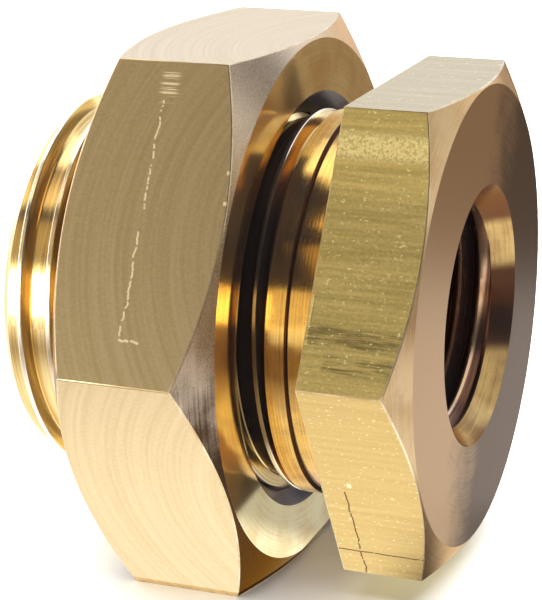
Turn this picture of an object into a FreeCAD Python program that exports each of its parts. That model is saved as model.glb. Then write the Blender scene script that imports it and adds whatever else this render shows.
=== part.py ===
import FreeCAD, Part
import math
import os

# A brass tank connector: a hexagon-headed threaded sleeve and its back nut.
# The pipe axis is X. The head's sealing face, which bears on the tank wall, is the plane X = 0,
# the head lies towards +X and the barrel, which passes through the wall, towards -X.
# Both hexagons lie on a flat, so +Z is up and a corner points along +Y and along -Y.
# All lengths are in millimetres and all angles in degrees.

# Hexagon head
head_flats = 30.16
head_length = 6.4
head_face_diameter = 29.9
head_chamfer_angle = 25.0

# Barrel, measured over the crests of its thread
barrel_diameter = 25.4
barrel_length = 22.2
tail_chamfer = 1.4

# Outside thread, cut as closed sharp-bottomed rings at its pitch
thread_pitch = 2.0
thread_depth = 1.2
thread_crest_width = 0.22

# Plain land between the thread and the relief
land_length = 2.11

# Turned relief between the head and the land
relief_length = 2.45
relief_depth = 0.3
relief_fillet = 0.2

# Drilled bore, measured over the crests of the pipe thread that is cut from each end
bore_diameter = 14.68
bore_countersink = 1.16
bore_countersink_angle = 45.0

# Back nut
nut_flats = 34.925
nut_length = 10.6
nut_face_diameter = 34.5
nut_chamfer_angle = 30.0
nut_countersink = 1.05
nut_countersink_angle = 45.0

# Running clearance on the radius between the barrel and the nut
thread_clearance = 0.05

# Space left between the head and the nut, where the tank wall is clamped
wall_gap = 5.1

# Distance by which a cutting or trimming tool runs past the metal
overrun = 1.0


def rise(width, angle):
    """Axial depth of a cone that is this wide on the radius, its angle measured from the end face."""
    return width * math.tan(math.radians(angle))


def revolved(outline):
    """Solid of revolution about the X axis, from (x, radius) points of a closed outline."""
    points = [FreeCAD.Vector(x, radius, 0) for x, radius in outline]
    wire = Part.makePolygon(points + points[:1])
    return Part.Face(wire).revolve(FreeCAD.Vector(0, 0, 0), FreeCAD.Vector(1, 0, 0), 360)


def hexagon_bar(flats, start, end):
    """Hexagon bar along X between two planes, lying on one of its flats."""
    corner_radius = flats / math.sqrt(3)
    corners = []
    for step in range(6):
        angle = math.radians(60 * step)
        corners.append(FreeCAD.Vector(start, corner_radius * math.cos(angle), corner_radius * math.sin(angle)))
    wire = Part.makePolygon(corners + corners[:1])
    return Part.Face(wire).extrude(FreeCAD.Vector(end - start, 0, 0))


def chamfered_hexagon(flats, start, end, face_diameter, angle, both_ends):
    """Hexagon bar trimmed by the cones that a lathe turns on its corners, at the end or at both ends."""
    blank_radius = flats / math.sqrt(3) + overrun
    face_radius = face_diameter / 2
    depth = rise(blank_radius - face_radius, angle)
    outline = [(end, 0), (end, face_radius), (end - depth, blank_radius)]
    if both_ends:
        outline += [(start + depth, blank_radius), (start, face_radius)]
    else:
        outline += [(start, blank_radius)]
    outline += [(start, 0)]
    return hexagon_bar(flats, start, end).common(revolved(outline))


def countersunk_hole(radius, start, end, width, angle):
    """Tool for a through hole between two end faces, countersunk by this width on the radius at both."""
    depth = rise(width, angle)
    past = rise(overrun, angle)
    return revolved([
        (start - past, 0),
        (start - past, radius + width + overrun),
        (start + depth, radius),
        (end - depth, radius),
        (end + past, radius + width + overrun),
        (end + past, 0),
    ])


def thread_groove(centre):
    """Tool for one groove of the outside thread, round the barrel at this axial position."""
    radius = barrel_diameter / 2
    mouth = (thread_pitch - thread_crest_width) / 2
    past = mouth * (1 + overrun / thread_depth)
    return revolved([
        (centre - past, radius + overrun),
        (centre, radius - thread_depth),
        (centre + past, radius + overrun),
    ])


def thread_grooves():
    """Tools for all the grooves, from the land to the barrel's tail."""
    centre = -(relief_length + land_length + (thread_pitch - thread_crest_width) / 2)
    grooves = []
    while centre > -barrel_length:
        grooves.append(thread_groove(centre))
        centre -= thread_pitch
    return grooves


def barrel():
    """Turned and threaded barrel: tail chamfer, thread, land and relief, with a root inside the head."""
    radius = barrel_diameter / 2
    relief_radius = radius - relief_depth
    tail = -barrel_length
    blank = revolved([
        (tail, 0),
        (tail, radius - tail_chamfer),
        (tail + tail_chamfer, radius),
        (-relief_length, radius),
        (-relief_length + relief_depth, relief_radius),
        (-relief_fillet, relief_radius),
        (0, relief_radius + relief_fillet),
        (head_length / 2, relief_radius + relief_fillet),
        (head_length / 2, 0),
    ])
    return blank.cut(thread_grooves())


def body():
    """Hexagon head and barrel in one piece, with the pipe bore right through both."""
    head = chamfered_hexagon(head_flats, 0, head_length, head_face_diameter, head_chamfer_angle, False)
    hole = countersunk_hole(bore_diameter / 2, -barrel_length, head_length, bore_countersink,
                            bore_countersink_angle)
    return head.fuse(barrel()).removeSplitter().cut(hole)


def back_nut():
    """Hexagon nut that clamps the tank wall against the head, chamfered and countersunk on both faces."""
    front = -wall_gap
    back = front - nut_length
    blank = chamfered_hexagon(nut_flats, back, front, nut_face_diameter, nut_chamfer_angle, True)
    hole = countersunk_hole(barrel_diameter / 2 + thread_clearance, back, front, nut_countersink,
                            nut_countersink_angle)
    return blank.cut(hole)


os.makedirs("parts", exist_ok=True)
for name, shape in (("body", body()), ("back_nut", back_nut())):
    shape.exportStep("parts/" + name + ".step")
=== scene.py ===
"""Dressed model of a brass tank connector, a hexagon-headed threaded sleeve with its back nut.

The pipe axis is X, with the head towards +X, and both hexagons have a corner towards +Y and -Y.
Sizes in the classes are in millimetres and angles in degrees; the finished meshes are in metres.
An angle around the axis is counted from +Y towards +Z. The six flats are numbered the same way,
so 1 is the top one, 2 the upper front and 3 the lower front, and a place along a flat grows the
same way round, which is downwards on the front.
"""

import logging
import math
from collections.abc import Callable, Iterable
from dataclasses import dataclass, field
from enum import Enum
from functools import reduce

import bmesh
import bpy
from bmesh.types import BMEdge, BMesh, BMFace, BMVert
from bpy.types import ID, Material, Mesh, NodeSocket, NodeTree, Object
from mathutils import Euler, Matrix, Vector


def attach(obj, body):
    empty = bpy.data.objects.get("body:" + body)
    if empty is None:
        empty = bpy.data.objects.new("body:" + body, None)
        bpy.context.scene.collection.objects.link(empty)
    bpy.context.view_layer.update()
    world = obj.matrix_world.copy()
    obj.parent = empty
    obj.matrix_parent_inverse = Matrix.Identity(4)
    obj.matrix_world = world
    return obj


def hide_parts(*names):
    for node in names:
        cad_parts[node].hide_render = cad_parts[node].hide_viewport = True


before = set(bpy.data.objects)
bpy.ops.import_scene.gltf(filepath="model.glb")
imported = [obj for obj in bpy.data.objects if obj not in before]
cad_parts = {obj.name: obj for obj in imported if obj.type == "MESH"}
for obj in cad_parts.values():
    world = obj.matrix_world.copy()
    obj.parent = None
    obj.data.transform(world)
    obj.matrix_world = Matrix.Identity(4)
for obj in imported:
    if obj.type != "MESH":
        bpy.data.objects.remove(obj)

LOG = logging.getLogger("tank_connector")

MM = 0.001
INCH = 25.4
HEXAGON_SIDES = 6
X_AXIS = Vector((1.0, 0.0, 0.0))
ORIGIN = Vector((0.0, 0.0, 0.0))

# Distance at which two vertices of a sheet are one
MERGE = 0.004
# Distance by which a turned blank is larger than the hexagon's corners
BLANK_ALLOWANCE = 0.8
# Least part of its normal along X that a face square to the axis, and one of a chamfer, has
SQUARE = 0.99
SLOPING = 0.5
# Angle between two faces from which their edge is sharp
SHARP = 20.0
# Material index that marks a broken edge until the finishes are given out
BROKEN = 1

Pair = tuple[float, float]
Outline = list[Pair]
Place = tuple[float, float, float]
Tints = tuple[tuple[int, str], ...]
Value = float | str | tuple | NodeSocket

# Thin grey film that dulls every metal surface a little
FILM_COLOUR = "B4A8A8"
FILM_SHARE = 0.026

# Brass seen through the old oil in a joint, also used as painted shade in the thread's grooves
OIL_AND_SHADE_COLOUR = "75603F"

# Step in a noise from one flat to the next, so that no two flats are alike
FLAT_STEP = 7.3

# Map Range setting that eases in and out
SMOOTH = {"interpolation_type": "SMOOTHSTEP"}


class Zone(Enum):
    """The differently finished zones of the two pieces."""

    FLATS = "flats"
    END_FACE = "end_face"
    CONE = "cone"
    EDGE = "edge"
    NECK = "neck"
    THREAD = "thread"
    MOUTH = "mouth"
    BORE = "bore"


# Mesh work


def spun(points: Outline, steps: int, lead: float = 0.0, turns: int = 1) -> BMesh:
    """Sheet swept by an open outline that turns about the X axis.

    Args:
        points: (x, radius) of each point of the outline, in the half plane towards +Y.
        steps: Number of equal steps in a turn.
        lead: Distance moved along X in a turn, which makes the sheet helical.
        turns: Number of turns.

    Returns:
        A bmesh with the sheet, its doubles merged.
    """
    sheet = bmesh.new()
    row = [sheet.verts.new((x, radius, 0.0)) for x, radius in points]
    edges = [sheet.edges.new(pair) for pair in zip(row, row[1:])]
    bmesh.ops.spin(sheet, geom=row + edges, cent=ORIGIN, axis=X_AXIS, dvec=X_AXIS * (lead / steps),
                   angle=math.tau, steps=steps, use_merge=lead == 0.0, use_duplicate=False)
    turn = everything(sheet)
    for number in range(1, turns):
        copy = bmesh.ops.duplicate(sheet, geom=turn)
        verts = [item for item in copy["geom"] if isinstance(item, BMVert)]
        bmesh.ops.translate(sheet, verts=verts, vec=X_AXIS * (lead * number))
    bmesh.ops.remove_doubles(sheet, verts=sheet.verts, dist=MERGE)
    return sheet


def everything(sheet: BMesh) -> list:
    """All vertices, edges and faces of a sheet."""
    return sheet.verts[:] + sheet.edges[:] + sheet.faces[:]


def keep_between(sheet: BMesh, start: float, end: float) -> None:
    """Cuts a sheet off square at two planes across the X axis.

    Args:
        sheet: The sheet, which is changed.
        start: Lower x kept.
        end: Upper x kept.
    """
    for x, normal in ((start, -X_AXIS), (end, X_AXIS)):
        bmesh.ops.bisect_plane(sheet, geom=everything(sheet), dist=MERGE, plane_co=X_AXIS * x,
                               plane_no=normal, use_snap_center=True, clear_outer=True)


def lay_on_cone(sheet: BMesh, limit: Callable[[float], float], inside: bool) -> None:
    """Splits a sheet where it meets a cone, and lays what stands proud of the cone on it.

    Args:
        sheet: The sheet, which is changed.
        limit: Radius of the cone at an x.
        inside: True where the cone widens a hole, and False where it trims a bar.
    """
    sign = -1.0 if inside else 1.0
    touching = 1e-4

    def proud(vert: BMVert) -> float:
        """Distance on the radius by which a vertex stands proud of the cone."""
        return sign * (math.hypot(vert.co.y, vert.co.z) - limit(vert.co.x))

    heights = {vert: proud(vert) for vert in sheet.verts}
    met = [vert for vert, height in heights.items() if abs(height) < touching]
    for edge in sheet.edges[:]:
        first, second = (heights[vert] for vert in edge.verts)
        if first * second < 0 and min(abs(first), abs(second)) >= touching:
            met.append(bmesh.utils.edge_split(edge, edge.verts[0], first / (first - second))[1])
    bmesh.ops.connect_verts(sheet, verts=met)
    for vert in sheet.verts:
        if proud(vert) > 0:
            scale_radius(vert, limit(vert.co.x) / math.hypot(vert.co.y, vert.co.z))


def scale_radius(vert: BMVert, scale: float) -> None:
    """Moves a vertex straight towards or away from the X axis."""
    vert.co.y *= scale
    vert.co.z *= scale


def hexagon(outline: Outline, steps: int, apothem: float, edge_break: float) -> BMesh:
    """Turned blank with six flats cut on it, whose edges are broken and marked.

    Args:
        outline: (x, radius) of the points of the blank's outline.
        steps: Number of equal steps round the blank.
        apothem: Distance from the axis to each flat.
        edge_break: Width of the broken edges.

    Returns:
        The sheet, open where its outline ends.
    """
    bar = spun(outline, steps)
    bmesh.ops.recalc_face_normals(bar, faces=bar.faces)
    for side in range(HEXAGON_SIDES):
        angle = math.tau * (side + 0.5) / HEXAGON_SIDES
        normal = Vector((0.0, math.cos(angle), math.sin(angle)))
        cut = bmesh.ops.bisect_plane(bar, geom=everything(bar), dist=1e-5, plane_co=normal * apothem,
                                     plane_no=normal, clear_outer=True)
        rim = [item for item in cut["geom_cut"] if isinstance(item, BMEdge)]
        bmesh.ops.contextual_create(bar, geom=rim)
    bar.normal_update()
    flats = [face for face in bar.faces
             if abs(face.normal.x) < 1e-3 and abs(face.calc_center_median().yz.length - apothem) < 0.05]
    edges = {edge for face in flats for edge in face.edges}
    broken = bmesh.ops.bevel(bar, geom=list(edges), offset=edge_break, offset_type="OFFSET", segments=2,
                             profile=0.5, affect="EDGES", clamp_overlap=False, material=-1)
    for face in broken["faces"]:
        face.material_index = BROKEN
    return bar


def thread_form(half: Outline, start: float, pitch: float) -> Outline:
    """Outline of one turn of a thread whose two flanks are alike.

    Args:
        half: (x, radius) of the points from one end of the turn to its middle.
        start: Where the turn starts.
        pitch: Length of the turn.

    Returns:
        The whole outline.
    """
    other_half = [(pitch - x, radius) for x, radius in reversed(half) if x < pitch / 2]
    return [(start + x, radius) for x, radius in half + other_half]


def outer_zone(face: BMFace) -> Zone:
    """Zone of a face on the outside of a hexagon, told by its slope."""
    slope = abs(face.normal.x)
    return Zone.END_FACE if slope > SQUARE else Zone.CONE if slope > SLOPING else Zone.FLATS


def settled(sheet: BMesh, name: str) -> Mesh:
    """Mesh with what a bmesh holds, which is freed."""
    mesh = bpy.data.meshes.new(name)
    sheet.to_mesh(mesh)
    sheet.free()
    return mesh


def placed(name: str, content: ID) -> Object:
    """Object with a mesh, light or camera, linked to the scene."""
    thing = bpy.data.objects.new(name, content)
    bpy.context.scene.collection.objects.link(thing)
    return thing


def joined(sheets: Iterable[BMesh]) -> BMesh:
    """Puts several sheets into one bmesh.

    Args:
        sheets: The sheets, which are freed.

    Returns:
        One bmesh, in which they aren't yet connected.
    """
    whole = bmesh.new()
    for sheet in sheets:
        carrier = settled(sheet, "carrier")
        whole.from_mesh(carrier)
        bpy.data.meshes.remove(carrier)
    return whole


def close_ring(whole: BMesh, x: float) -> None:
    """Closes the flat ring between two open rims that lie in one plane across the axis.

    Args:
        whole: The bmesh, which is changed.
        x: Place of the plane.
    """
    rims = [edge for edge in whole.edges
            if edge.is_boundary and all(abs(vert.co.x - x) < 1e-3 for vert in edge.verts)]
    bmesh.ops.bridge_loops(whole, edges=rims)
    bmesh.ops.recalc_face_normals(whole, faces=whole.faces)


def finished_mesh(whole: BMesh, name: str, zone_of: Callable[[BMFace], Zone],
                  finishes: dict[Zone, Material]) -> Object:
    """Makes an object from a closed bmesh in millimetres, with each face in its zone's finish.

    Args:
        whole: The closed bmesh, which is freed.
        name: Name of the object and its mesh.
        zone_of: Tells a face's zone.
        finishes: Material of each zone.

    Returns:
        The object, linked to the scene.
    """
    faults = sum(not edge.is_contiguous for edge in whole.edges)
    if faults:
        LOG.warning("%s has %d open or turned edges", name, faults)
    order = list(finishes)
    for face in whole.faces:
        face.material_index = order.index(zone_of(face))
        face.smooth = True
    for edge in whole.edges:
        sides = edge.link_faces
        if len(sides) == 2:
            turned = sides[0].normal.angle(sides[1].normal, 0.0)
            edge.smooth = (turned < math.radians(SHARP)
                           and sides[0].material_index == sides[1].material_index)
    bmesh.ops.transform(whole, matrix=Matrix.Scale(MM, 4), verts=whole.verts)
    mesh = settled(whole, name)
    for zone in order:
        mesh.materials.append(finishes[zone])
    return placed(name, mesh)


# Finishes


def linear(hex_colour: str) -> tuple[float, float, float, float]:
    """Linear colour with full alpha from an sRGB hex value such as "C8A96A"."""
    channels = (int(hex_colour[place:place + 2], 16) / 255 for place in (0, 2, 4))
    return (*(c / 12.92 if c <= 0.04045 else ((c + 0.055) / 1.055) ** 2.4 for c in channels), 1.0)


class Wiring:
    """Node tree in the making."""

    def __init__(self, tree: NodeTree) -> None:
        """Starts with an empty tree."""
        self.tree = tree
        tree.nodes.clear()

    def add(self, kind: str, *values: Value, inputs: dict[str, Value] | None = None,
            out: str | None = None, **settings: object) -> NodeSocket:
        """Adds a node with its settings and links.

        Args:
            kind: Node type without its leading "ShaderNode", then its operation behind a dot.
            values: A value, a colour in hex or a socket for each input, in order.
            inputs: The same for each input that is told by its name.
            out: Name of the output to return.
            settings: Properties of the node.

        Returns:
            The output that is asked for, or else the first one in use.
        """
        kind, *operation = kind.split(".")
        node = self.tree.nodes.new("ShaderNode" + kind)
        if operation:
            node.operation = operation[0]
        for key, value in settings.items():
            setattr(node, key, value)
        usable = [socket for socket in node.inputs if socket.enabled]
        pairs = list(zip(usable, values))
        pairs += [(next(one for one in usable if one.name == key), value)
                  for key, value in (inputs or {}).items()]
        for socket, value in pairs:
            if isinstance(value, NodeSocket):
                self.tree.links.new(value, socket)
            else:
                socket.default_value = linear(value) if isinstance(value, str) else value
        return node.outputs[out] if out else next((one for one in node.outputs if one.enabled), None)


@dataclass(frozen=True)
class Spot:
    """Soft-edged rectangle on one of the six flats."""

    flat: int
    centre: Pair
    half: Pair
    soft: float


@dataclass(frozen=True)
class Scratch:
    """Thin mark on one of the six flats, along it or along the axis, which wanders and has gaps."""

    flat: int
    centre: Pair
    half: Pair
    wander: float
    gaps: float


class Surface(Wiring):
    """Node tree of one finish, with the places on the turned piece that its patterns follow."""

    def __init__(self, name: str) -> None:
        """Starts the material's tree and its coordinates in millimetres.

        Args:
            name: The material's name.
        """
        self.material = bpy.data.materials.new(name)
        self.material.use_nodes = True
        super().__init__(self.material.node_tree)
        place = self.add("TexCoord", out="Object")
        self.place = self.add("VectorMath.SCALE", place, inputs={"Scale": 1 / MM})
        self.axial, y, self.height = (self.add("SeparateXYZ", self.place, out=axis) for axis in "XYZ")
        level = self.add("VectorMath.MULTIPLY", self.place, (0.0, 1.0, 1.0))
        self.radius = self.add("VectorMath.LENGTH", level, out="Value")
        self.angle = self.add("Math.ARCTAN2", self.height, y)
        sixth = math.tau / HEXAGON_SIDES
        turned = self.add("Math.WRAP", self.angle, math.tau, 0.0)
        self.flat = self.add("Math.FLOOR", self.add("Math.DIVIDE", turned, sixth))
        middle = self.add("Math.MULTIPLY_ADD", self.flat, sixth, sixth / 2)
        aside = self.add("Math.SINE", self.add("Math.SUBTRACT", turned, middle))
        self.along = self.add("Math.MULTIPLY", aside, self.radius)

    def noise(self, per_axial: float, per_along: float, detail: float = 4.0) -> Value:
        """Noise on the flats, drawn out in one direction and different on each flat.

        Args:
            per_axial: Features in a millimetre along the pipe axis.
            per_along: Features in a millimetre along the flat.
            detail: Octaves.

        Returns:
            The noise, from 0 to 1.
        """
        spread = self.add("CombineXYZ", self.axial, self.along, self.flat)
        spread = self.add("VectorMath.MULTIPLY", spread, (per_axial, per_along, FLAT_STEP))
        return self.add("TexNoise", out="Fac",
                        inputs={"Vector": spread, "Scale": 1.0, "Detail": detail, "Roughness": 0.62})

    def mixed(self, first: Value, second: Value, share: float) -> Value:
        """Weighted mean of two patterns, of which the first has this share."""
        return self.add("Math.MULTIPLY_ADD", first, share, self.add("Math.MULTIPLY", second, 1.0 - share))

    def any_of(self, *masks: Value) -> Value:
        """Greatest of several masks."""
        return reduce(lambda one, other: self.add("Math.MAXIMUM", one, other), masks)

    def all_of(self, *masks: Value) -> Value:
        """Product of several masks."""
        return reduce(lambda one, other: self.add("Math.MULTIPLY", one, other), masks)

    def on_flat(self, flat: int) -> Value:
        """1 on one of the six flats and 0 on the others."""
        return self.add("Math.COMPARE", self.flat, float(flat), 0.1)

    def within(self, value: Value, middle: float, half: float, soft: float, most: float = 1.0) -> Value:
        """Soft-edged stretch of a coordinate.

        Args:
            value: The coordinate.
            middle: Middle of the stretch.
            half: Half its length.
            soft: Width of its soft edges.
            most: What it reaches inside.

        Returns:
            The share, which is 0 outside.
        """
        away = self.add("Math.ABSOLUTE", self.add("Math.SUBTRACT", value, middle))
        return self.add("MapRange", away, half, half + soft, most, 0.0, **SMOOTH)

    def patch(self, spot: Spot) -> Value:
        """Mask of a spot, 1 inside it and 0 outside."""
        sides = (self.within(where, middle, half, spot.soft)
                 for where, middle, half in zip((self.axial, self.along), spot.centre, spot.half))
        return self.all_of(self.on_flat(spot.flat), *sides)

    def scratch(self, mark: Scratch) -> Value:
        """Mask of a scratch.

        Args:
            mark: The scratch.

        Returns:
            1 on the mark, 0 off it and in its gaps.
        """
        down = mark.half[1] > mark.half[0]
        run, side = (self.along, self.axial) if down else (self.axial, self.along)
        run_middle, side_middle = mark.centre[::-1] if down else mark.centre
        stray, parts = (self.add("TexNoise", inputs={"W": run, "Scale": per_mm, "Detail": detail},
                                 noise_dimensions="1D", out="Fac")
                        for per_mm, detail in ((0.7, 3.0), (2.3, 2.0)))
        swerve = self.add("Math.SUBTRACT", stray, 0.5)
        moved = self.add("Math.MULTIPLY_ADD", swerve, 4.0 * mark.wander, side)
        width = min(mark.half)
        missing = 0.25 + 0.5 * mark.gaps
        return self.all_of(self.on_flat(mark.flat), self.within(moved, side_middle, 0.5 * width, width),
                           self.within(run, run_middle, max(mark.half), 0.1),
                           self.add("MapRange", parts, missing, missing + 0.05, **SMOOTH))

    def paint_light_on_flats(self, share: float, painted_light_tints: Tints) -> list[tuple[Value, str]]:
        """Coats of painted light that tint single flats lighter or darker, all with this share."""
        return [(self.add("Math.MULTIPLY", self.on_flat(flat), share), tint) for flat, tint in painted_light_tints]

    def coated(self, base: Value, *coats: tuple[Value, Value]) -> Value:
        """Base colour with coats laid over it in turn.

        Args:
            base: The lowest colour, as a socket or in hex.
            coats: Share and colour of each coat.

        Returns:
            The colour that is seen.
        """
        for share, colour in coats:
            base = self.add("Mix", inputs={"Factor": share, "A": base, "B": colour}, data_type="RGBA",
                            clamp_factor=True)
        return base

    def metal(self, colour: Value, roughness: Value, height: Value, depth: float,
              grazing: str = "FFFFFF") -> Material:
        """Ends the tree in a metal under a very thin grey film of old oil, which lifts its blacks.

        Args:
            colour: Base colour.
            roughness: Roughness.
            height: Relief from 0 to 1.
            depth: Depth of the full relief, in millimetres.
            grazing: Tint of what it reflects at a low angle, less than white where it is tarnished.

        Returns:
            The material.
        """
        relief = self.add("Bump", inputs={"Height": height, "Distance": depth * MM})
        shader = self.add("BsdfPrincipled", inputs={"Base Color": colour, "Metallic": 1.0, "Normal": relief,
                                                    "Roughness": roughness, "Specular Tint": grazing})
        film = self.add("BsdfDiffuse", FILM_COLOUR)
        self.add("OutputMaterial", self.add("MixShader", FILM_SHARE, shader, film))
        return self.material


class Cut(Enum):
    """Way in which a lathe tool travels, which its rings follow."""

    FACING = "across the radius"
    TURNING = "along the axis"


@dataclass(frozen=True)
class TurnedBrass:
    """Brass left by a lathe tool, with fine rings that follow the cut and a little uneven tarnish, and
    painted light where given: a tone that leans across the piece, and painted reflection bands with painted
    shade between them.

    A finishing cut leaves rings about 0.1 mm apart. They are drawn twice as wide, so that they show.
    """

    name: str
    bright: str
    dull: str
    roughness: float
    cut: Cut = Cut.FACING
    dome: float = 0.0
    # Painted light: the tone grows along this vector, per millimetre, so that one side is lighter and the
    # other darker; patchy is the share left to random patches
    painted_light_lean: Place = (0.0, 0.0, 0.0)
    patchy: float = 1.0
    seam: float | None = None
    # Middle and half of each stretch of height that keeps the brass colour as a painted reflection band,
    # with painted shade between them
    painted_reflection_bands: tuple[Pair, ...] = ()
    # Darker colour: painted shade between the reflection bands, and the seam line
    stain_and_shade: str = "5E4430"
    grazing: str = "FFFFFF"
    ring_spacing: float = 0.22
    ring_wander: float = 0.6
    ring_depth: float = 0.0012
    clouds_per_mm: float = 0.35
    grain_per_mm: float = 9.0
    # Streaks in a millimetre across them and in a radian along them
    streaks: Place = (9.0, 1.5, 0.0)
    mean_tone: float = 0.54
    tone_range: Pair = (0.4, 0.68)

    def material(self) -> Material:
        """Gives the eye a satin gleam drawn out across fine rings, in patches a little browner, with
        painted light where a tilt of tone and reflection bands are given.

        Returns:
            The material.
        """
        surface = Surface(self.name)
        add = surface.add
        across = surface.radius if self.cut is Cut.FACING else surface.axial
        clouds, grain = (add("TexNoise", inputs={"Vector": surface.place, "Scale": per_mm, "Detail": 3.0},
                             out="Fac") for per_mm in (self.clouds_per_mm, self.grain_per_mm))
        feed = add("Math.MULTIPLY_ADD", clouds, self.ring_wander, across)
        rings = add("Math.SINE", add("Math.MULTIPLY", feed, math.tau / self.ring_spacing))
        drawn_out = add("VectorMath.MULTIPLY", add("CombineXYZ", across, surface.angle), self.streaks)
        streak = add("TexNoise", inputs={"Vector": drawn_out, "Scale": 1.0, "Detail": 4.0}, out="Fac")
        uneven = add("Math.MULTIPLY", surface.mixed(streak, grain, 0.7), 0.5)
        tone = add("Math.MULTIPLY_ADD", clouds, 0.6, uneven)
        # Painted light: the tone leans across the piece
        painted_light_leaning = add("Math.ADD", self.mean_tone * (1.0 - self.patchy),
                      add("VectorMath.DOT_PRODUCT", surface.place, self.painted_light_lean, out="Value"))
        tone = add("Math.MULTIPLY_ADD", tone, self.patchy, painted_light_leaning)
        bright = add("MapRange", tone, *self.tone_range, **SMOOTH)
        colour = surface.coated(self.dull, (bright, self.bright))
        # Painted reflection: bright bands of height, darkened between them as painted shade
        if self.painted_reflection_bands:
            painted_reflection_bands = [surface.within(surface.height, *stretch, 0.9) for stretch in self.painted_reflection_bands]
            colour = surface.coated(self.stain_and_shade, (surface.any_of(*painted_reflection_bands), colour))
        # A dark line along the seam, in the darker colour
        if self.seam is not None:
            line = surface.within(surface.axial, self.seam, 0.06, 0.04)
            colour = surface.coated(colour, (line, self.stain_and_shade))
        rough = add("Math.MULTIPLY_ADD", grain, 0.12, self.roughness - 0.06)
        height = add("Math.MULTIPLY_ADD", rings, 0.15, streak)
        height = add("Math.MULTIPLY_ADD", across, -self.dome / self.ring_depth, height)
        return surface.metal(colour, rough, height, self.ring_depth, self.grazing)


@dataclass(frozen=True)
class DrawnBrass:
    """Flats of drawn hexagon bar, with streaks along the bar, pits, worn places, painted glints along the
    top edge and painted light tinting of single flats.

    A drawing die leaves lines some 0.05 mm apart. They are drawn six times as wide, so that they show.
    """

    name: str
    bright: str
    middle: str
    dark: str
    stain_and_shade: str
    roughness: float
    crack_colour: str = "7A5C2C"
    relief: float = 0.006
    lines_per_mm: float = 2.8
    grain_per_mm: float = 6.5
    # Painted light: tint of single flats, lighter or darker as their lighting makes them
    painted_light_tints: Tints = ((3, "D8B270"), (1, "CCBEAA"))
    rolled_edge: Spot = Spot(2, (3.0, -6.35), (3.6, 0.5), 0.5)
    rolled_slope: Pair = (0.0, -26.0)
    worn: Spot = Spot(2, (3.0, -6.6), (3.6, 2.0), 2.5)
    stains: tuple[Spot, ...] = (Spot(2, (3.0, 5.3), (3.6, 0.45), 0.4),
                                Spot(2, (4.2, 6.9), (2.6, 0.35), 0.4))
    cracks: tuple[Scratch, ...] = (Scratch(3, (1.56, 4.5), (0.05, 4.1), 0.12, 0.1),
                                   Scratch(3, (3.0, 6.4), (3.6, 0.06), 0.06, 0.1))
    nick: Spot = Spot(3, (1.9, -0.28), (0.1, 0.16), 0.08)
    burr: Spot = Spot(2, (0.12, 4.4), (0.12, 1.5), 0.04)
    burr_slope: Pair = (80.0, -70.0)

    def material(self) -> Material:
        """Gives the eye an olive gold with painted glints along its top, streaked along the bar and cracked
        below.

        Returns:
            The material.
        """
        surface = Surface(self.name)
        add = surface.add
        grain = add("TexNoise", inputs={"Vector": surface.place, "Scale": self.grain_per_mm, "Detail": 4.0},
                    out="Fac")
        mottle = surface.mixed(surface.noise(0.1, self.lines_per_mm, 5.0), grain, 0.65)
        rolled = surface.patch(self.rolled_edge)
        stained = surface.all_of(surface.any_of(*map(surface.patch, self.stains)),
                                 add("MapRange", surface.noise(0.5, 5.0), 0.36, 0.64, **SMOOTH))
        pits = add("MapRange", surface.noise(3.2, 5.0, 2.0), 0.64, 0.7, **SMOOTH)
        # Painted glints: bright grains in the rolled band along the top edge
        painted_sparkle = surface.all_of(rolled, add("MapRange", grain, 0.3, 0.62, **SMOOTH))
        cracks = surface.any_of(*map(surface.scratch, self.cracks))
        colour = surface.coated(self.dark, (add("MapRange", mottle, 0.3, 0.7, **SMOOTH), self.middle),
                                *surface.paint_light_on_flats(0.6, self.painted_light_tints),
                                (add("Math.MULTIPLY", stained, 0.75), self.stain_and_shade),
                                (surface.any_of(painted_sparkle, pits, surface.patch(self.nick)), self.bright),
                                (cracks, self.crack_colour))
        rough = add("Math.MULTIPLY_ADD", grain, 0.2, self.roughness - 0.1)
        for mask, rougher in ((surface.patch(self.worn), 0.14), (rolled, 0.12)):
            rough = add("Math.MULTIPLY_ADD", mask, rougher, rough)
        height = mottle
        for mask, step in ((cracks, -1.5), (pits, 1.2)):
            height = add("Math.MULTIPLY_ADD", mask, step, height)
        # Two places lean instead of standing proud, and catch the light as one plane
        for mask, spot, slopes in ((rolled, self.rolled_edge, self.rolled_slope),
                                   (surface.patch(self.burr), self.burr, self.burr_slope)):
            away = add("Math.SUBTRACT", surface.along, spot.centre[1])
            fall = add("Math.MULTIPLY", surface.axial, slopes[0])
            fall = add("Math.MULTIPLY_ADD", away, slopes[1], fall)
            height = add("Math.MULTIPLY_ADD", fall, mask, height)
        return surface.metal(colour, rough, height, self.relief)


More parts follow.
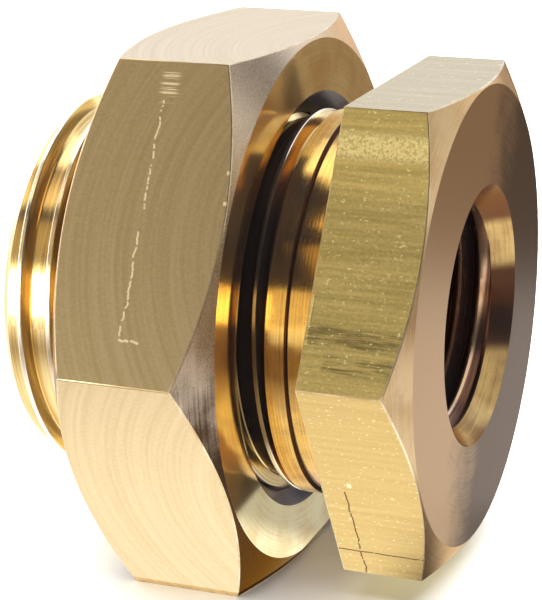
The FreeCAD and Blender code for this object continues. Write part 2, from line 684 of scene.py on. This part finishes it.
@dataclass(frozen=True)
class MilledBrass:
    """Nut flats, with the shallow arcs that a face cutter leaves, a chain of bright nicks on one flat,
    painted glints on burrs at its edge and painted light tinting of single flats.

    The cutter's marks are some 0.05 mm apart. They are drawn four times as wide, so that they show.
    """

    name: str
    bright: str
    dark: str
    nick_and_glint_colour: str
    roughness: float
    cutter_centre: Place = (6.0, 0.0, 0.0)
    # Marks in a millimetre away from the cutter's centre and along the flat, and step between flats
    arcs: Place = (5.0, 0.05, 5.1)
    grain_per_mm: float = 6.0
    relief: float = 0.002
    # Painted light: tint of single flats, lighter or darker as their lighting makes them
    painted_light_tints: Tints = ((2, "ABA071"), (3, "E8D09A"), (1, "E8D6AE"))
    chatter: Spot = Spot(2, (-10.3, -8.5), (0.3, 0.8), 0.5)
    chain: tuple[Scratch, ...] = (Scratch(2, (-10.55, -4.2), (0.06, 3.4), 0.16, 0.4),
                                  Scratch(2, (-10.5, 4.0), (0.06, 3.3), 0.2, 0.3),
                                  Scratch(2, (-9.9, 7.3), (0.6, 0.07), 0.25, 0.1))
    # Burrs on the edge, each with a painted glint
    edge_burr_glints: tuple[Spot, ...] = (Spot(2, (-5.55, -3.38), (0.06, 0.08), 0.06),
                                    Spot(2, (-5.42, -1.5), (0.08, 0.08), 0.06))

    def material(self) -> Material:
        """Gives the eye a fine satin brushed in arcs about a point within the head, with pale nicks and
        painted glints.

        Returns:
            The material.
        """
        surface = Surface(self.name)
        add = surface.add
        centred = add("VectorMath.SUBTRACT", surface.place, self.cutter_centre)
        reach = add("VectorMath.LENGTH", centred, out="Value")
        swept = add("CombineXYZ", reach, surface.along, surface.flat)
        swept = add("VectorMath.MULTIPLY", swept, self.arcs)
        arcs = add("TexNoise", inputs={"Vector": swept, "Scale": 1.0, "Detail": 4.0, "Roughness": 0.6},
                   out="Fac")
        grain = add("TexNoise", inputs={"Vector": surface.place, "Scale": self.grain_per_mm, "Detail": 4.0},
                    out="Fac")
        tone = surface.mixed(arcs, grain, 0.6)
        dashes = add("MapRange", surface.noise(0.15, 8.0, 1.0), 0.52, 0.58, **SMOOTH)
        # Chatter dashes, the chain of nicks and the painted glints on the burrs
        marks = surface.any_of(surface.all_of(surface.patch(self.chatter), dashes),
                               *map(surface.scratch, self.chain), *map(surface.patch, self.edge_burr_glints))
        colour = surface.coated(self.dark, (add("MapRange", tone, 0.32, 0.66, **SMOOTH), self.bright),
                                *surface.paint_light_on_flats(0.5, self.painted_light_tints), (marks, self.nick_and_glint_colour))
        rough = add("Math.MULTIPLY_ADD", grain, 0.1, self.roughness - 0.05)
        rough = add("Math.MULTIPLY_ADD", marks, 0.3, rough)
        height = add("Math.MULTIPLY_ADD", marks, 3.0, tone)
        return surface.metal(colour, rough, height, self.relief)


@dataclass(frozen=True)
class ThreadBrass:
    """Thread cut bright and dragged along its turns, with crests worn pale that also carry a painted
    highlight, a painted shadow line in each groove and old oil with painted shade in the joint.
    """

    name: str
    bright: str
    dark: str
    roughness: float
    # Colour of the crest line: rubbing and a painted highlight
    crest_rub_and_highlight_colour: str
    crest: float
    start: float
    pitch: float
    inside: bool = False
    oil_and_shade_start: float | None = None
    rub_and_highlight_end: float | None = None
    # Place in each turn of the painted shadow line beside the crest
    shadow_phase: float = 0.84
    # Middle, half and soft edge of the stretch of height with old oil that is also painted shade
    oil_and_shade_height: Place = (1.0, 6.5, 3.0)
    # Drag marks in a millimetre of radius, in a radian and in a millimetre along the axis
    drag: Place = (14.0, 1.2, 5.0)
    relief: float = 0.003

    def material(self) -> Material:
        """Gives the eye gold with a pale line of rubbing and painted highlight on each crest, a painted
        shadow line beside it and oil with painted shade in the joint.

        Returns:
            The material.
        """
        surface = Surface(self.name)
        add = surface.add
        turns = add("Math.DIVIDE", surface.angle, math.tau)
        travel = add("Math.DIVIDE", add("Math.SUBTRACT", surface.axial, self.start), self.pitch)
        phase = add("Math.FRACT", add("Math.SUBTRACT", travel, turns))
        drag = add("CombineXYZ", surface.radius, surface.angle, surface.axial)
        drag = add("VectorMath.MULTIPLY", drag, self.drag)
        streak = add("TexNoise", inputs={"Vector": drag, "Scale": 1.0, "Detail": 3.0}, out="Fac")
        side = -1.0 if self.inside else 1.0
        # Pale line on each crest: rubbing and a painted highlight, which stops at an end where one is given
        crest_rub_and_highlight = add("MapRange", surface.radius, self.crest - 0.1 * side, self.crest - 0.02 * side, **SMOOTH)
        if self.rub_and_highlight_end is not None:
            before_highlight_end = add("MapRange", surface.axial, self.rub_and_highlight_end - 0.1, self.rub_and_highlight_end, 1.0, 0.0, **SMOOTH)
            crest_rub_and_highlight = surface.all_of(crest_rub_and_highlight, before_highlight_end)
        # Streaks, a painted shadow line beside each crest, then the crest's pale line of rubbing and
        # painted highlight
        colour = surface.coated(self.dark, (add("MapRange", streak, 0.35, 0.65, **SMOOTH), self.bright),
                                (surface.within(phase, self.shadow_phase, 0.04, 0.05, 0.85), OIL_AND_SHADE_COLOUR),
                                (crest_rub_and_highlight, self.crest_rub_and_highlight_colour))
        # Old oil near the joint, kept to a stretch of height as painted shade of the grooves
        if self.oil_and_shade_start is not None:
            near = add("MapRange", surface.axial, self.oil_and_shade_start, self.oil_and_shade_start + 1.0, **SMOOTH)
            oil_and_shade = surface.all_of(near, surface.within(surface.height, *self.oil_and_shade_height))
            colour = surface.coated(colour, (oil_and_shade, OIL_AND_SHADE_COLOUR))
        rough = add("Math.MULTIPLY_ADD", streak, 0.12, self.roughness - 0.06)
        return surface.metal(colour, rough, streak, self.relief)


@dataclass(frozen=True)
class PaleFloor:
    """Matt white paper that the connector stands on."""

    name: str = "white_paper"
    colour: str = "F4F3F0"

    def material(self) -> Material:
        """Gives the eye an even white.

        Returns:
            The material.
        """
        surface = Surface(self.name)
        shader = surface.add("BsdfPrincipled", inputs={"Base Color": self.colour, "Roughness": 0.9})
        surface.add("OutputMaterial", shader)
        return surface.material


@dataclass(frozen=True)
class Shade:
    """Place on the card where the object's shadow is painted, its reach and its share."""

    centre: Place
    reach: float
    share: float


@dataclass(frozen=True)
class PaintedReflectionCard:
    """Glowing card that paints what the metal reflects of the table: bright paper, brown surroundings and a
    painted shadow of the object.
    """

    name: str = "painted_reflection_card"
    paper: str = "FAFAFF"
    brown: str = "86725C"
    shade: str = "40342C"
    strength: float = 1.38
    paper_centre: Place = (8.0, 16.0, 0.0)
    paper_stretch: Place = (0.6, 1.0, 0.0)
    paper_end: float = 36.0
    brown_start: float = 60.0
    brown_left: float = -30.0
    shade_stretch: Place = (0.7, 1.2, 0.0)
    # Painted shadows of the object on the card
    shades: tuple[Shade, ...] = (Shade((11.6, -7.8, 0.0), 6.2, 1.0), Shade((46.0, -12.0, 0.0), 11.0, 0.8),
                                 Shade((-2.0, 5.0, 0.0), 8.0, 0.6))

    def material(self) -> Material:
        """Gives the lower faces their painted bright and dark reflections.

        Returns:
            The material.
        """
        surface = Surface(self.name)
        add = surface.add

        def distance(centre: Place, stretch: Place) -> Value:
            """Distance over the table from a place, in a stretched measure."""
            beside = add("VectorMath.SUBTRACT", surface.place, centre)
            beside = add("VectorMath.MULTIPLY", beside, stretch)
            return add("VectorMath.LENGTH", beside, out="Value")

        away = add("MapRange", distance(self.paper_centre, self.paper_stretch), self.paper_end,
                   self.brown_start, **SMOOTH)
        right = add("MapRange", surface.axial, self.brown_left - 20.0, self.brown_left, **SMOOTH)
        shaded = [add("MapRange", distance(shade.centre, self.shade_stretch), 0.6 * shade.reach,
                      1.3 * shade.reach, shade.share, 0.0, **SMOOTH) for shade in self.shades]
        colour = surface.coated(self.paper, (surface.all_of(away, right), self.brown),
                                (surface.any_of(*shaded), self.shade))
        add("OutputMaterial", add("Emission", inputs={"Color": colour, "Strength": self.strength}))
        return surface.material


# Pieces


@dataclass
class ConnectorBody:
    """Hexagon head, neck, threaded barrel and tapped bore, turned from one bar."""

    head_flats: float = 30.16
    head_length: float = 6.4
    face_radius: float = 14.95
    chamfer_angle: float = 25.0
    tail: float = -22.2
    tail_radius: float = 11.3
    thread_end: float = -3.75
    land_radius: float = 12.7
    relief_start: float = -2.45
    relief_radius: float = 12.4
    fillet: float = 0.2
    edge_break: float = 0.07
    pitch: float = 2.0
    crest_radius: float = 12.66
    thread_depth: float = 0.8
    thread_start: float = -25.422
    thread_turns: int = 11
    bore_pitch: float = INCH / 18
    bore_radius: float = 7.34
    bore_crest: float = 7.40
    bore_root: float = 8.48
    bore_flank_angle: float = 30.0
    bore_taper: float = 1 / 32
    mouth_radius: float = 8.5
    bore_start: float = -24.0
    bore_turns: int = 23
    threaded_depth: float = 10.4
    run_out: float = 2.5
    lead_in: float = 1.3
    mouth_slope: float = 0.72
    steps: int = 240
    thread_steps: int = 180
    bore_steps: int = 160

    def head(self) -> BMesh:
        """Neck and hexagon head.

        Returns:
            The sheet, open where the thread and the end face join it.
        """
        blank = self.head_flats / math.sqrt(3) + BLANK_ALLOWANCE
        rise = (blank - self.face_radius) * math.tan(math.radians(self.chamfer_angle))
        arc = [math.radians(angle) for angle in (0, 22.5, 45, 67.5, 90)]
        outline = [(self.thread_end, self.land_radius - 0.04), (self.thread_end + 0.04, self.land_radius),
                   (self.relief_start, self.land_radius),
                   (self.relief_start + 0.02, self.land_radius - 0.02),
                   (self.relief_start + 0.07, self.relief_radius)]
        outline += [(self.fillet * (math.sin(a) - 1), self.relief_radius + self.fillet * (1 - math.cos(a)))
                    for a in arc]
        outline += [(0.0, blank), (self.head_length - rise, blank), (self.head_length, self.face_radius)]
        return hexagon(outline, self.steps, self.head_flats / 2, self.edge_break)

    def outside_thread(self) -> BMesh:
        """Helical sheet of the barrel's thread.

        Returns:
            The sheet, from the tail's chamfer to the land.
        """
        crest = self.crest_radius
        root = crest - self.thread_depth
        half = [(0.0, crest), (0.10, crest), (0.15, crest - 0.03),
                (0.42, root + 0.06), (0.5, root), (1.0, root)]
        sheet = spun(thread_form(half, self.thread_start, self.pitch), self.thread_steps, self.pitch,
                     self.thread_turns)
        lay_on_cone(sheet, lambda x: self.tail_radius + x - self.tail, inside=False)
        keep_between(sheet, self.tail, self.thread_end)
        return sheet

    def bore(self) -> BMesh:
        """Sheet of the drilled bore with its pipe thread from each end and its countersunk mouths.

        Returns:
            The sheet, from the tail to the head's face.
        """
        depth_of_thread = self.bore_root - self.bore_crest
        flank = depth_of_thread * math.tan(math.radians(self.bore_flank_angle))
        middle = self.bore_pitch / 2 - 0.03
        half = [(0.0, self.bore_crest), (middle - flank, self.bore_crest), (middle, self.bore_root)]
        sheet = spun(thread_form(half, self.bore_start, self.bore_pitch), self.bore_steps, self.bore_pitch,
                     self.bore_turns)
        for vert in sheet.verts:
            radius = math.hypot(vert.co.y, vert.co.z)
            share = (radius - self.bore_crest) / depth_of_thread
            depth = min(self.head_length - vert.co.x, vert.co.x - self.tail)
            fade = min(1.0, max(0.0, (self.threaded_depth + self.run_out - depth) / self.run_out),
                       max(0.0, depth - self.lead_in))
            taper = max(0.0, depth) * self.bore_taper
            crest = max(self.bore_radius, self.bore_crest - taper)
            root = self.bore_root - taper
            scale_radius(vert, (crest + share * fade * (root - crest)) / radius)
        slope = self.mouth_slope
        lay_on_cone(sheet, lambda x: self.mouth_radius - slope * (self.head_length - x), inside=True)
        lay_on_cone(sheet, lambda x: self.mouth_radius - slope * (x - self.tail), inside=True)
        keep_between(sheet, self.tail, self.head_length)
        return sheet

    def zone_of(self, face: BMFace) -> Zone:
        """Zone of one face of the finished body.

        Args:
            face: The face, in millimetres.

        Returns:
            Its zone.
        """
        middle = face.calc_center_median()
        x, radius = middle.x, middle.yz.length
        if face.material_index == BROKEN:
            return Zone.EDGE
        if radius < self.mouth_radius and abs(face.normal.x) < SQUARE:
            mouth = self.mouth_slope * min(self.head_length - x, x - self.tail) + radius
            return Zone.MOUTH if abs(mouth - self.mouth_radius) < 0.01 else Zone.BORE
        if x < self.thread_end - 1e-3:
            return Zone.END_FACE if abs(face.normal.x) > SQUARE else Zone.THREAD
        if radius < self.land_radius and x < 0.0:
            return Zone.NECK
        return outer_zone(face)

    def finishes(self, edge: Material) -> dict[Zone, Material]:
        """Finish of each zone of the body.

        Args:
            edge: Material of the broken edges.

        Returns:
            The zones in the order of their slots.
        """
        return {
            Zone.FLATS: DrawnBrass("drawn_brass_bar", "FFF4B8", "F6E294", "CCB868", "746A30",
                                   0.47).material(),
            # End face: painted light, lighter towards -Y and towards the top
            Zone.END_FACE: TurnedBrass("turned_brass_face", "AE9068", "40301E", 0.37, patchy=0.5,
                                       painted_light_lean=(0.0, -0.034, 0.014), grazing="F4EAE0").material(),
            Zone.CONE: TurnedBrass("turned_brass_chamfer", "D6B98C", "BE9C70", 0.3,
                                   grazing="F4E0C4").material(),
            Zone.EDGE: edge,
            Zone.NECK: TurnedBrass("turned_brass_neck", "E2B45A", "B48A48", 0.14, cut=Cut.TURNING,
                                   seam=self.relief_start + 0.05).material(),
            Zone.THREAD: ThreadBrass("cut_brass_thread", "F6DC98", "E0BC74", 0.17, "FFF4DC",
                                     self.crest_radius, self.thread_start, self.pitch,
                                     oil_and_shade_start=-8.0).material(),
            # Mouth: painted reflection bands at two heights, with painted shade between them
            Zone.MOUTH: TurnedBrass("turned_brass_mouth", "C8A868", "98764A", 0.22, stain_and_shade="6A4428",
                                    painted_reflection_bands=((2.9, 1.3), (-6.3, 1.5)), grazing="E8D4BC").material(),
            Zone.BORE: ThreadBrass("cut_brass_pipe_thread", "805840", "583A2C", 0.25, "F4CCA4",
                                   self.bore_crest, self.bore_start, self.bore_pitch, inside=True,
                                   rub_and_highlight_end=5.0).material(),
        }

    def build(self, edge: Material) -> Object:
        """Makes and dresses the body and puts it in the CAD body's place.

        Args:
            edge: Material of the broken edges.

        Returns:
            The piece.
        """
        whole = joined([self.head(), self.outside_thread(), self.bore()])
        for x in (self.tail, self.thread_end, self.head_length):
            close_ring(whole, x)
        piece = finished_mesh(whole, "connector_body", self.zone_of, self.finishes(edge))
        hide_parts("body")
        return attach(piece, "body")


@dataclass
class BackNut:
    """Hexagon nut, chamfered on both faces and tapped to run on the barrel."""

    flats: float = 34.925
    back: float = -15.7
    front: float = -5.1
    face_radius: float = 17.25
    chamfer_angle: float = 30.0
    edge_break: float = 0.07
    pitch: float = 2.0
    root_radius: float = 12.85
    thread_depth: float = 0.85
    mouth_radius: float = 13.8
    thread_start: float = -19.422
    thread_turns: int = 9
    steps: int = 240
    thread_steps: int = 180

    def blank(self) -> BMesh:
        """Hexagon with its turned corners.

        Returns:
            The sheet, open at both faces.
        """
        outer = self.flats / math.sqrt(3) + BLANK_ALLOWANCE
        rise = (outer - self.face_radius) * math.tan(math.radians(self.chamfer_angle))
        outline = [(self.back, self.face_radius), (self.back + rise, outer), (self.front - rise, outer),
                   (self.front, self.face_radius)]
        return hexagon(outline, self.steps, self.flats / 2, self.edge_break)

    def thread(self) -> BMesh:
        """Helical sheet of the nut's thread with its countersunk mouths, in step with the barrel's.

        Returns:
            The sheet, from face to face.
        """
        root = self.root_radius
        crest = root - self.thread_depth
        half = [(0.0, root), (0.09, root), (0.13, root - 0.04),
                (0.5, crest + 0.04), (0.56, crest), (1.0, crest)]
        sheet = spun(thread_form(half, self.thread_start, self.pitch), self.thread_steps, self.pitch,
                     self.thread_turns)
        lay_on_cone(sheet, lambda x: self.mouth_radius - (self.front - x), inside=True)
        lay_on_cone(sheet, lambda x: self.mouth_radius - (x - self.back), inside=True)
        keep_between(sheet, self.back, self.front)
        return sheet

    def zone_of(self, face: BMFace) -> Zone:
        """Zone of one face of the finished nut.

        Args:
            face: The face, in millimetres.

        Returns:
            Its zone.
        """
        middle = face.calc_center_median()
        x, radius = middle.x, middle.yz.length
        if face.material_index == BROKEN:
            return Zone.EDGE
        if radius < self.mouth_radius and abs(face.normal.x) < SQUARE:
            mouth = min(self.front - x, x - self.back) + radius
            return Zone.MOUTH if abs(mouth - self.mouth_radius) < 0.01 else Zone.THREAD
        return outer_zone(face)

    def finishes(self, edge: Material) -> dict[Zone, Material]:
        """Finish of each zone of the nut.

        Args:
            edge: Material of the broken edges.

        Returns:
            The zones in the order of their slots.
        """
        return {
            Zone.FLATS: MilledBrass("milled_brass_flats", "F8E0B4", "DABE8A", "FCF0D0", 0.44).material(),
            Zone.END_FACE: TurnedBrass("turned_brass_nut_face", "FFF0B4", "E8CA80", 0.1,
                                       dome=0.06).material(),
            # Chamfer: painted light, lighter towards the top and darker towards the bottom
            Zone.CONE: TurnedBrass("turned_brass_nut_chamfer", "F0DABC", "48321E", 0.28, patchy=0.5,
                                   painted_light_lean=(0.0, 0.0, 0.026), grazing="E0C098").material(),
            Zone.EDGE: edge,
            Zone.THREAD: ThreadBrass("cut_brass_nut_thread", "8A6C48", "46382C", 0.25, "A88860",
                                     self.root_radius - self.thread_depth, self.thread_start, self.pitch,
                                     inside=True).material(),
            # Darker brass in the nut's countersunk mouths
            Zone.MOUTH: TurnedBrass("dark_brass_nut_mouth", "5C4A3A", "30261E", 0.35).material(),
        }

    def build(self, edge: Material) -> Object:
        """Makes and dresses the nut and puts it in the CAD nut's place.

        Args:
            edge: Material of the broken edges.

        Returns:
            The piece.
        """
        whole = joined([self.blank(), self.thread()])
        for x in (self.back, self.front):
            close_ring(whole, x)
        piece = finished_mesh(whole, "locking_nut", self.zone_of, self.finishes(edge))
        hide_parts("back_nut")
        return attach(piece, "nut")


# Studio


class Seen(Enum):
    """What a light panel is seen by."""

    ALL = "all"
    MATT = "matt"


@dataclass(frozen=True)
class SoftPanel:
    """Soft light panel that faces the object from a direction, and that the camera doesn't see.

    Its azimuth is 0 towards -Y and grows towards +X. Its distance and sides are in metres.
    """

    name: str
    azimuth: float
    elevation: float
    distance: float
    width: float
    height: float
    radiance: float
    colour: str = "FFFFFF"
    seen: Seen = Seen.ALL

    def place(self) -> Object:
        """Makes the panel, aimed at the object.

        Returns:
            The light.
        """
        light = bpy.data.lights.new(self.name, "AREA")
        light.shape = "RECTANGLE"
        light.size = self.width
        light.size_y = self.height
        light.color = linear(self.colour)[:3]
        light.energy = 4.0 * self.width * self.height * self.radiance
        lamp = placed(self.name, light)
        turn, lift = math.radians(self.azimuth), math.radians(self.elevation)
        back = Vector((math.sin(turn) * math.cos(lift), -math.cos(turn) * math.cos(lift), math.sin(lift)))
        lamp.location = back * self.distance
        lamp.rotation_euler = back.to_track_quat("Z", "Y").to_euler()
        lamp.visible_camera = False
        lamp.visible_glossy = self.seen is Seen.ALL
        return lamp


@dataclass
class Studio:
    """Floor, light and camera."""

    floor_height: float = -17.4625
    floor_size: float = 2.0
    card_lift: float = 0.4
    world_colour: str = "B8A898"
    world_strength: float = 0.08
    camera_place: Place = (39.581, -123.263, 40.763)
    camera_turn: Place = (72.700, 0.596, 20.981)
    lens: float = 124.03
    sensor: float = 36.0
    panels: list[SoftPanel] = field(default_factory=lambda: [
        SoftPanel("front_panel", -3.0, 10.0, 0.6, 0.75, 0.24, 0.85, "FFEFD0"),
        SoftPanel("window_panel", -33.8, 2.9, 0.12, 0.018, 0.045, 6.0),
        SoftPanel("low_right_panel", 21.0, 8.0, 0.6, 0.16, 0.2, 3.4),
        SoftPanel("upper_panel", -83.0, 44.0, 0.8, 0.68, 0.5, 1.15, "FFEAC8"),
        SoftPanel("high_panel", -130.0, 62.0, 0.8, 0.5, 0.3, 1.0),
        SoftPanel("left_fill_panel", -34.5, 30.0, 0.6, 0.085, 0.3, 0.5, "FFE0A8"),
        SoftPanel("left_panel", -100.0, 0.0, 0.6, 0.9, 0.4, 2.0),
        SoftPanel("right_panel", 97.0, 35.0, 0.6, 0.56, 0.35, 0.68),
        SoftPanel("back_right_panel", 135.0, 6.0, 0.6, 0.55, 0.14, 1.0),
        SoftPanel("back_panel", 198.0, 38.0, 0.8, 1.8, 1.3, 1.0, "E2EAFF"),
        SoftPanel("floor_panel", 0.0, 88.0, 1.0, 1.6, 1.6, 3.8, seen=Seen.MATT),
    ])

    def sheet(self, name: str, height: float, material: Material) -> Object:
        """Large level sheet that isn't part of the object.

        Args:
            name: Its name.
            height: Its height, in millimetres.
            material: Its material.

        Returns:
            The sheet.
        """
        level = bmesh.new()
        bmesh.ops.create_grid(level, x_segments=2, y_segments=2, size=self.floor_size)
        bmesh.ops.translate(level, verts=level.verts, vec=(0.0, 0.0, height * MM))
        mesh = settled(level, name)
        mesh.materials.append(material)
        sheet = placed(name, mesh)
        return sheet

    def card(self) -> None:
        """Lays a glowing card just over the floor that only the metal's reflections see, painted with the
        table's reflection and the object's shadow.
        """
        card = self.sheet("painted_reflection_card", self.floor_height + self.card_lift, PaintedReflectionCard().material())
        for ray in ("camera", "diffuse", "shadow", "transmission"):
            setattr(card, "visible_" + ray, False)

    def world(self) -> None:
        """Gives the scene an even dim surround."""
        world = bpy.data.worlds.new("surround")
        world.use_nodes = True
        wiring = Wiring(world.node_tree)
        wiring.add("OutputWorld", wiring.add("Background", self.world_colour, self.world_strength))
        bpy.context.scene.world = world

    def camera(self) -> None:
        """Puts the camera at the photograph's viewing angle."""
        lens = bpy.data.cameras.new("camera")
        lens.lens = self.lens
        lens.sensor_width = self.sensor
        lens.clip_start = 0.01
        camera = placed("camera", lens)
        camera.location = Vector(self.camera_place) * MM
        camera.rotation_euler = Euler([math.radians(angle) for angle in self.camera_turn])
        bpy.context.scene.camera = camera

    def build(self) -> None:
        """Sets up the whole studio."""
        self.sheet("floor", self.floor_height, PaleFloor().material())
        self.card()
        self.world()
        for panel in self.panels:
            panel.place()
        self.camera()
        bpy.context.scene.view_settings.view_transform = "Standard"


def main() -> None:
    """Builds and dresses the pieces, then sets up the studio."""
    logging.basicConfig(level=logging.INFO, format="%(message)s")
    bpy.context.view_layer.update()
    edge = TurnedBrass("rubbed_brass_edge", "FAE8C0", "D2B480", 0.32).material()
    for sub_assembly in (ConnectorBody(), BackNut()):
        piece = sub_assembly.build(edge)
        LOG.info("%s: %d faces", piece.name, len(piece.data.polygons))
    Studio().build()
    LOG.info("studio: floor, panels and camera")


if __name__ == "__main__":
    main()
